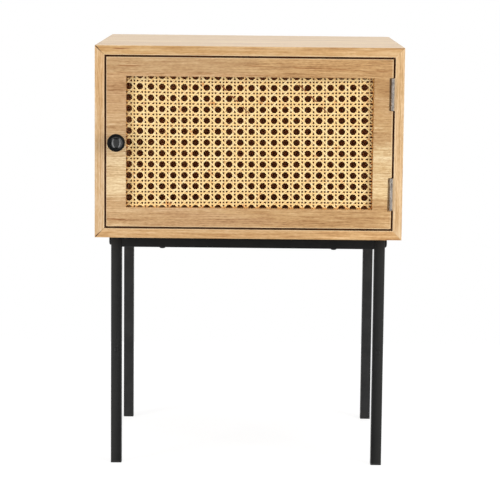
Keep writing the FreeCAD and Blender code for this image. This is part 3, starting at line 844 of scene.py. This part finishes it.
def pairHeight(tree, phase, side):
    # plain weave: each strand of a pair goes over one and under the other strand it crosses
    reach = caneLook["pairReach"]
    turn = phase - phase.maths("ROUND")
    swing = (turn * (math.pi / reach)).maths("SINE")
    return swing * abs(turn).maths("LESS_THAN", reach) * side * tree.given("Wave")


def slantHeight(tree, phase, side):
    # a slant passes under one pair and over the next
    snap = ((phase * (2 * math.pi)).maths("COSINE") * caneLook["slantSnap"]).maths("TANH")
    return snap * (1 / math.tanh(caneLook["slantSnap"])) * side * tree.given("Wave")


def clipped(start, run, low, high):
    # the two ends of a straight strand inside the sheet, seen from the front, or nothing
    first, last = -math.inf, math.inf
    for at, step, least, most in ((start[0], run[0], low.x, high.x),
                                  (start[1], run[1], low.z, high.z)):
        if step == 0:
            if not least < at < most:
                return None
        else:
            near, far = sorted(((least - at) / step, (most - at) / step))
            first, last = max(first, near), min(last, far)
    if last - first < caneLook["shortest"]:
        return None
    return [(start[0] + run[0] * t, start[1] + run[1] * t) for t in (first, last)]


def weaveLines(starts, run, y, low, high):
    found = []
    for start, side in starts:
        ends = clipped(start, run, low, high)
        if ends:
            found.append([(x, y, z) for x, z in ends] + [side])
    return found


def caneSeed(name, lines):
    # one edge for each strand, with the side of its pair kept as an attribute
    mesh = bpy.data.meshes.new(name)
    points = [point for line in lines for point in line[:2]]
    mesh.from_pydata(points, [(2 * i, 2 * i + 1) for i in range(len(lines))], [])
    side = mesh.attributes.new("side", "FLOAT", "POINT")
    side.data.foreach_set("value", [float(line[2]) for line in lines for end in (0, 1)])
    return linked(name, mesh)


def weaveCane():
    pitchX, pitchZ, steps = caneGrid["X"], caneGrid["Z"], caneLook["steps"]
    low, high = edges["window"]
    crossX = low.x + caneLook["firstHoleX"] - pitchX / 2
    crossZ = high.z - caneLook["firstHoleZ"] - pitchZ / 2
    y = (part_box("cane_slants_rising")[0].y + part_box("cane_cross_strands")[1].y) / 2
    reach = caneLook["windowMargin"] - caneLook["inset"]
    sheet = (low - Vector((reach, 0, reach)), high + Vector((reach, 0, reach)))
    pair = [(-caneLook["pairOffset"], -1), (caneLook["pairOffset"], 1)]
    uprights = [((crossX + i * pitchX + gap, crossZ), side) for i in steps for gap, side in pair]
    middleZ = (low.z + high.z) / 2
    last = [((start[0] + caneLook["lastShifts"][side > 0], middleZ), side)
            for start, side in uprights if abs(start[0] - high.x) < caneLook["lastGap"]]
    uprights = [line for line in uprights if abs(line[0][0] - high.x) > caneLook["lastGap"]]
    cross = [((crossX, crossZ + i * pitchZ + gap), -side) for i in steps for gap, side in pair]
    falling = [((crossX + (i + 0.5) * pitchX, crossZ), -1) for i in steps]
    rising = [(start, 1) for start, side in falling]
    slope = math.hypot(pitchX, pitchZ)
    rise, fall = (pitchX / slope, pitchZ / slope), (pitchX / slope, -pitchZ / slope)
    up, along = (0.0, 0.0, 1 / pitchZ), (1 / pitchX, 0.0, 0.0)
    kinds = {  # starts, run seen from the front, run of the wave, wave, kind, seed, finish
        "cane_uprights": (uprights, (0, 1), up, pairHeight, "pair", 11, caneMaterial),
        "cane_cross_strands": (cross, (1, 0), along, pairHeight, "pair", 23, caneMaterial),
        "cane_slants_rising": (rising, rise, up, slantHeight, "slant", 37, caneMaterial),
        "cane_slants_falling": (falling, fall, up, slantHeight, "slant", 41, stainedCane),
    }
    for node, (starts, run, wave, height, kind, seed, material) in kinds.items():
        lines = weaveLines(starts, run, y, *sheet)
        if node == "cane_uprights":
            lines += weaveLines(last, (caneLook["lastLean"], 1), y, *sheet)
        sizes = {"Crossing": (crossX, y, crossZ), "Run": wave, "Wave": caneLook[kind + "Wave"],
                 "Middle": tuple((low + high) / 2), "Width": caneLook[kind + "Width"],
                 "Thickness": caneLook["thickness"], "Step": caneLook["step"],
                 "Section sides": caneLook["profileSides"], "Seed": seed,
                 "Drift": tuple(seed * step for step in caneLook["wobbleDrift"]),
                 "Wobble": (caneLook["wobble"], 0.0, caneLook["wobble"]), "Finish": material}
        tree = strandTree(node + "_tree", sizes, height)
        mesh = tree.run(caneSeed(node + "_seed", lines), node)
        piece = linked(node + "_woven", mesh, material)
        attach(piece, "door")
        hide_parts(node)
        print("  ", node, len(lines), "strands,", len(mesh.polygons), "faces")


weaveCane()
print("cane woven")


fastenerLook = {  # radius and height of each head in mm, and of its recess
    "leafScrew": {"cross": (1.45, 0.42), "deep": 0.9,
        "outline": [(2.55, 0.0), (2.6, 0.06), (2.3, 0.16), (1.7, 0.2)]},
    "strikeScrew": {"cross": (1.2, 0.36), "deep": 0.6,
        "outline": [(1.95, 0.0), (2.0, 0.05), (1.7, 0.12), (1.4, 0.14)]},
    "backScrew": {"cross": (1.3, 0.4), "deep": 0.9,
        "outline": [(2.7, 0.0), (2.8, 0.35), (2.5, 0.9), (1.8, 1.25), (1.55, 1.3)]},
    "catchScrew": {"cross": (1.15, 0.36), "deep": 0.8,
        "outline": [(2.3, 0.0), (2.4, 0.35), (2.1, 0.85), (1.5, 1.15), (1.35, 1.2)]},
    "panHead": {"cross": (2.0, 0.55), "deep": 1.6,
        "outline": [(4.6, 0.0), (4.7, 0.4), (4.4, 1.2), (3.5, 1.9), (2.6, 2.15), (2.3, 2.2)]},
    "knobPan": {"cross": (1.8, 0.5), "deep": 1.5,
        "outline": [(3.7, 0.0), (3.8, 0.4), (3.5, 1.3), (2.7, 1.95), (2.0, 2.2)]},
    "connector": {"hexagon": 2.0, "deep": 1.8,
        "outline": [(7.1, 0.0), (7.2, 0.3), (7.1, 0.9), (6.6, 1.9), (5.6, 2.6), (4.4, 2.92),
                    (3.4, 3.0)]},
    "plug": {"outline": [(3.5, 0.0), (3.42, 0.25), (3.05, 0.55), (2.3, 0.82), (1.2, 0.97), (0.0, 1.0)]},
    "pin": {"outline": [(0.6, 0.0), (0.6, 0.08), (0.3, 0.12), (0.0, 0.1)]},
}
headSides, recessLip, recessTaper, headSharpest = 24, 0.03, 0.82, 38


def recessRadius(look, angle):
    if "hexagon" in look:
        part = angle % (math.pi / 3) - math.pi / 6
        return look["hexagon"] / math.cos(part)
    reach, half = look["cross"]
    part = (angle + math.pi / 4) % (math.pi / 2) - math.pi / 4
    return min(reach, half / max(abs(math.sin(part)), 1e-6))


def headData(name, look):
    # a screw head standing on the origin along +Z, with its recess cut in
    base = [2 * math.pi * i / headSides for i in range(headSides)]
    if "cross" in look:  # the corners of the recess need points of their own
        reach, half = look["cross"]
        turn = math.asin(half / reach)
        base += [q * math.pi / 2 + side * turn for q in range(4) for side in (-1, 1)]
    angles = sorted({round(a % (2 * math.pi), 5) for a in base})
    rings = [ringPoints(radius, height, angles) for radius, height in look["outline"]]
    if "deep" in look:
        top = look["outline"][-1][1]
        for shrink, height in ((1.0, top - recessLip), (recessTaper, top - look["deep"])):
            rings.append([ringPoints(recessRadius(look, a) * shrink, height, [a])[0]
                          for a in angles])
    return ringedData(name, rings, headSharpest)


def headTree(name, sizes):
    # a head on every point, turned to face its way and each at a turn of its own
    tree = GeometryTree(name, sizes)
    facing = tree.add("GeometryNodeInputNamedAttribute", {"Name": "facing"},
                      data_type="FLOAT_VECTOR")
    turned = tree.add("FunctionNodeAlignRotationToVector", {"Vector": facing}, axis="Z")
    values = {"Seed": tree.given("Seed"), 3: 2 * math.pi}
    spin = tree.add("FunctionNodeRandomValue", values, 1, data_type="FLOAT")
    values = {"Rotation": turned, "Rotate By": tree.add("ShaderNodeCombineXYZ", {2: spin})}
    turned = tree.add("FunctionNodeRotateRotation", values, rotation_space="LOCAL")
    head = tree.add("GeometryNodeObjectInfo", {"Object": tree.given("Head")}, "Geometry")
    values = {"Points": tree.given("Geometry"), "Instance": head, "Rotation": turned}
    tree.finish(tree.add("GeometryNodeInstanceOnPoints", values), tree.given("Finish"))
    return tree


def setHeads(name, kind, body, places, facing, material, seed, replaced=None):
    # places are points in metres; facing is one direction for all, or one for each
    points = bpy.data.meshes.new(name + "_points")
    points.from_pydata(places, [], [])
    ways = points.attributes.new("facing", "FLOAT_VECTOR", "POINT")
    facings = facing if isinstance(facing, list) else [facing] * len(places)
    ways.data.foreach_set("vector", [part for way in facings for part in way])
    head = linked(kind + "_head", headData(kind + "_head", fastenerLook[kind]))
    tree = headTree(name + "_tree", {"Head": head, "Seed": seed, "Finish": material})
    mesh = tree.run(linked(name + "_seed", points), name)
    bpy.data.objects.remove(head)
    piece = linked(name, mesh, material)
    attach(piece, body)
    if replaced:
        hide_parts(replaced)


fastenerPlaces = {  # how far in from the edges of what they hold
    "leafSteps": inMm(-15.6, 0, 15.6), "leafBack": 5.6 * mm, "leafIn": 1.0 * mm,
    "backRim": 3.2 * mm, "backEnd": 26 * mm, "backAcross": (-0.11, 0.11),
    "catchEar": 2.5 * mm, "catchEnd": 4 * mm, "strikeIn": 3.4 * mm,
    "railIn": 4.7 * mm, "plugIn": 3.5 * mm,
    "pinOff": 3.9 * mm, "pinsAcross": (0.06, 0.36, 0.66, 0.94), "pinsUp": (0.1, 0.5, 0.9),
}


def middle(node):
    low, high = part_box(node)
    return (low + high) / 2


def setFasteners():
    at = fastenerPlaces
    left, right, down, out, inward = (-1, 0, 0), (1, 0, 0), (0, 0, -1), (0, 1, 0), (0, -1, 0)
    cabinetLeaf, doorLeaf = [], []
    for level in ("upper", "lower"):
        low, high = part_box("hinge_" + level + "_cabinet_leaf")
        for step in at["leafSteps"]:
            y, z = high.y - at["leafBack"], (low.z + high.z) / 2 + step
            cabinetLeaf.append((high.x - at["leafIn"], y, z))
            doorLeaf.append((low.x + at["leafIn"], y, z))
    setHeads("cabinet_leaf_screws", "leafScrew", "table", cabinetLeaf, left, zincSteel,
             3)
    setHeads("door_leaf_screws", "leafScrew", "door", doorLeaf, right, zincSteel, 5)

    low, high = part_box("back_panel")
    rim, end = at["backRim"], at["backEnd"]
    back = [(x, high.y, z) for x in (low.x + rim, high.x - rim)
            for z in (low.z + end, (low.z + high.z) / 2, high.z - end)]
    back += [(x, high.y, z) for x in at["backAcross"] for z in (low.z + rim, high.z - rim)]
    setHeads("back_panel_screws", "backScrew", "table", back, out, blackFastener,
             7)

    low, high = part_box("catch_body")
    ears = [(low.x + at["catchEar"], (low.y + high.y) / 2, z)
            for z in (low.z + at["catchEnd"], high.z - at["catchEnd"])]
    setHeads("catch_screws", "catchScrew", "table", ears, right, zincSteel, 9)
    low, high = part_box("strike_plate")
    strike = (high.x - at["strikeIn"], high.y, (low.z + high.z) / 2)
    setHeads("strike_screw", "strikeScrew", "door", [strike], out, zincSteel, 4)

    low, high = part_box("rail_screws")
    legY = [middle("leg_front_left").y, middle("leg_back_left").y]
    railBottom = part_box("rail_front")[0].z
    pans = [(x, y, railBottom) for x in (low.x + at["railIn"], high.x - at["railIn"])
            for y in legY]
    setHeads("rail_screw_heads", "panHead", "table", pans, down, blackFastener,
             12, "rail_screws")
    railZ = middle("rail_left").z
    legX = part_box("leg_front_right")[1].x
    bolts = [(side * legX, y, railZ) for side in (-1, 1) for y in legY]
    setHeads("frame_bolt_heads", "connector", "table", bolts, [left, left, right, right],
             blackFastener, 15, "frame_bolts")
    low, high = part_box("leg_plugs")
    plugs = [(x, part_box("leg_front_left")[0].y, (low.z + high.z) / 2)
             for x in (low.x + at["plugIn"], high.x - at["plugIn"])]
    setHeads("leg_plug_domes", "plug", "table", plugs, inward, moulded, 18,
             "leg_plugs")

    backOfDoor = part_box("door_panel")[1].y
    setHeads("knob_screw_head", "knobPan", "door", [(knobPlace.x, backOfDoor, knobPlace.z)], out,
             zincSteel, 21, "knob_screw")
    low, high = edges["window"]
    off = at["pinOff"]
    pins = [(low.x + (high.x - low.x) * share, backOfDoor, z) for share in at["pinsAcross"]
            for z in (low.z - off, high.z + off)]
    pins += [(x, backOfDoor, low.z + (high.z - low.z) * share) for share in at["pinsUp"]
             for x in (low.x - off, high.x + off)]
    setHeads("bead_pins", "pin", "door", pins, out, zincSteel, 24)


setFasteners()
print("fasteners set")


floorLook = {
    "size": 1.7, "colour": grey(236), "cloud": grey(228), "clouds": 0.04,
    "cloudNoise": (3, 2, 0.5), "below": grey(176), "matt": 0.35, "glow": 0.815, "plain": 1.1,
    "runsOut": (0.45, 0.8),  # how far from the middle the sweep runs out to plain white
}
studioLook = {
    # the studio is white behind and above, dim in front
    "sky": 0.38, "white": 1.0, "behind": (-0.1, 0.25), "behindTilt": 0.4, "leastAhead": 0.001,
    # two tall softboxes, as gloss shows them: angles out from ahead, and lowest and highest
    "strips": {"strength": 2.2, "left": (38, 62), "right": (46, 66), "edge": 1.1,
               "lowest": (-0.95, -0.88), "highest": (0.68, 0.78),
               "fade": 0.35, "fades": (-0.05, 0.1)},
    "dull": 0.04, "dullFrom": (-0.9, -0.75),  # what gloss shows past the softboxes
}
lampLooks = {
    "left": {"place": (-2.1, -1.8, 1.0), "size": (1.0, 2.2), "power": 38.5, "aim": (0, -0.1, 1.0)},
    "right": {"place": (1.9, -1.8, 1.0), "size": (1.0, 2.2), "power": 40, "aim": (0, -0.1, 1.0)},
    "above": {"place": (0.3, -0.5, 3.0), "size": (2.4, 2.0), "power": 28, "aim": (0, 0, 0.5)},
    "behind": {"place": (0.5, 2.4, 1.1), "size": (1.6, 1.4), "power": 20, "aim": (0, 0.2, 0.6)},
}


def makeFloor():
    half = floorLook["size"] / 2
    mesh = bpy.data.meshes.new("floor")
    mesh.from_pydata([(-half, -half, 0), (half, -half, 0), (half, half, 0), (-half, half, 0)], [],
                     [(0, 1, 2, 3)])
    finish = Finish("pale_floor")
    place = finish.place()
    x, y, z = finish.split(place)
    clouds = finish.noise(place, *floorLook["cloudNoise"]) * floorLook["clouds"]
    colour = finish.blend(clouds, floorLook["colour"], floorLook["cloud"])
    matt = finish.add("ShaderNodeBsdfDiffuse", {"Color": colour})
    below = finish.add("ShaderNodeBsdfDiffuse", {"Color": floorLook["below"]})
    strength = floorLook["glow"] / (1 - floorLook["matt"])
    glow = finish.add("ShaderNodeEmission", {"Strength": strength})
    plain = finish.add("ShaderNodeEmission", {"Strength": floorLook["plain"]})
    far = finish.rise((x * x + y * y) ** 0.5, *floorLook["runsOut"])
    shown = finish.mixed(far, finish.mixed(floorLook["matt"], glow, matt), plain)
    path = finish.add("ShaderNodeLightPath", output="Is Camera Ray")
    seen = path.higher(path.other("Is Transmission Ray"))
    through = finish.add("ShaderNodeBsdfTransparent")  # gloss looks past the floor at the studio
    both = finish.mixed(path.other("Is Glossy Ray"), finish.mixed(seen, below, shown), through)
    finish.add("ShaderNodeOutputMaterial", {0: both})
    floor = linked("floor", mesh, finish.material)


def makeStudio():
    world = bpy.data.worlds.new("studio")
    scene.world = world
    world.use_nodes = True
    world.node_tree.nodes.clear()
    sky = NodeTree(world.node_tree)

    def light(strength):
        return sky.add("ShaderNodeBackground", {0: (1, 1, 1, 1), "Strength": strength})

    eastWest, northSouth, upDown = sky.split(sky.add("ShaderNodeTexCoord", output="Generated"))
    behind = sky.rise(northSouth + upDown * studioLook["behindTilt"], *studioLook["behind"])
    path = sky.add("ShaderNodeLightPath", output="Is Camera Ray")
    gloss = path.other("Is Glossy Ray")
    shown = path.higher(path.other("Is Transmission Ray")).higher(gloss * behind)
    mixed = sky.mixed(shown, light(studioLook["sky"]), light(studioLook["white"]))
    strips = studioLook["strips"]
    level = sky.rise(upDown, *strips["lowest"]) * sky.fall(upDown, *strips["highest"])
    isDull = (1 - level * sky.rise(eastWest, *studioLook["dullFrom"])) * (1 - behind) * gloss
    mixed = sky.mixed(isDull, mixed, light(studioLook["dull"]))
    aside = eastWest / (northSouth * -1).higher(studioLook["leastAhead"])
    inStrip = 0.0
    for way, angles in ((aside * -1, strips["left"]), (aside, strips["right"])):
        near, far = (math.tan(math.radians(angle)) for angle in angles)
        inStrip = (sky.rise(way, near, near * strips["edge"])
                   * sky.fall(way, far, far * strips["edge"])) + inStrip
    faded = 1 - sky.rise(upDown, *strips["fades"]) * strips["fade"]
    mixed = sky.mixed(inStrip * level * faded * gloss, mixed, light(strips["strength"]))
    sky.add("ShaderNodeOutputWorld", {0: mixed})


def makeLamps():
    for name, look in lampLooks.items():
        data = bpy.data.lights.new("lamp_" + name, "AREA")
        data.shape = "RECTANGLE"
        data.size, data.size_y = look["size"]
        data.energy = look["power"]
        lamp = bpy.data.objects.new("lamp_" + name, data)
        scene.collection.objects.link(lamp)
        lamp.location = look["place"]
        aim = Vector(look["aim"]) - Vector(look["place"])
        lamp.rotation_euler = aim.to_track_quat("-Z", "Y").to_euler()
        lamp.visible_camera = False
        lamp.visible_glossy = False  # gloss shows the strips of the studio instead


cameraLook = {"place": (0.0066, -3.3606, 0.7700), "lens": 157.03, "sensor": 36, "farthest": 60,
              "turn": 0.00113, "tilt": 0.13836, "roll": 0.01011}


def makeCamera():
    data = bpy.data.cameras.new("camera")
    data.lens = cameraLook["lens"]
    data.sensor_width = cameraLook["sensor"]
    data.clip_end = cameraLook["farthest"]
    camera = bpy.data.objects.new("camera", data)
    scene.collection.objects.link(camera)
    turn = Matrix.Rotation(cameraLook["turn"], 4, "Z")
    tilt = Matrix.Rotation(math.pi / 2 - cameraLook["tilt"], 4, "X")
    roll = Matrix.Rotation(cameraLook["roll"], 4, "Z")
    camera.matrix_world = Matrix.Translation(cameraLook["place"]) @ turn @ tilt @ roll
    scene.camera = camera


makeFloor()
makeStudio()
makeLamps()
makeCamera()
scene.view_settings.view_transform = "Standard"
print("room, lamps and camera ready")
